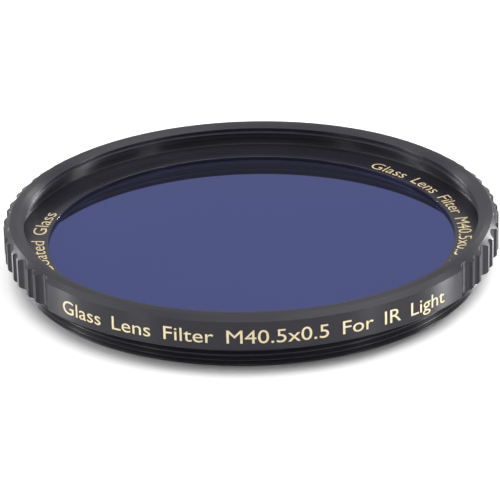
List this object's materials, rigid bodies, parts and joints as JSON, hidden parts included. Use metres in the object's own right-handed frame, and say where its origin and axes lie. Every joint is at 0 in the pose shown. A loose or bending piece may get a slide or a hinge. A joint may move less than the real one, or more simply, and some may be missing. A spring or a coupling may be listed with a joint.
{
  "type": "infrared lens filter",
  "caption": "Round screw-in infrared lens filter: coated glass in a thin turned ring with a fluted grip, a front thread and a rear thread.",
  "frame": {"origin": "centre of the flat end of the rear thread, on the filter's axis", "axes": "+Z along the optical axis towards the front side, away from the lens; the smooth label band faces -Y; +X to the right of it"},
  "size_m": [0.0434, 0.0434, 0.0052],
  "materials": {
    "ring_black": "satin black anodised, turned",
    "filter_glass": "polished, dark, with a slate-blue reflecting coat",
    "keeper_black": "matt black anodised, turned"
  },
  "bodies": {
    "root": {"filter_ring": "ring_black", "filter_glass": "filter_glass", "retaining_ring": "keeper_black"}
  },
  "joints": []
}
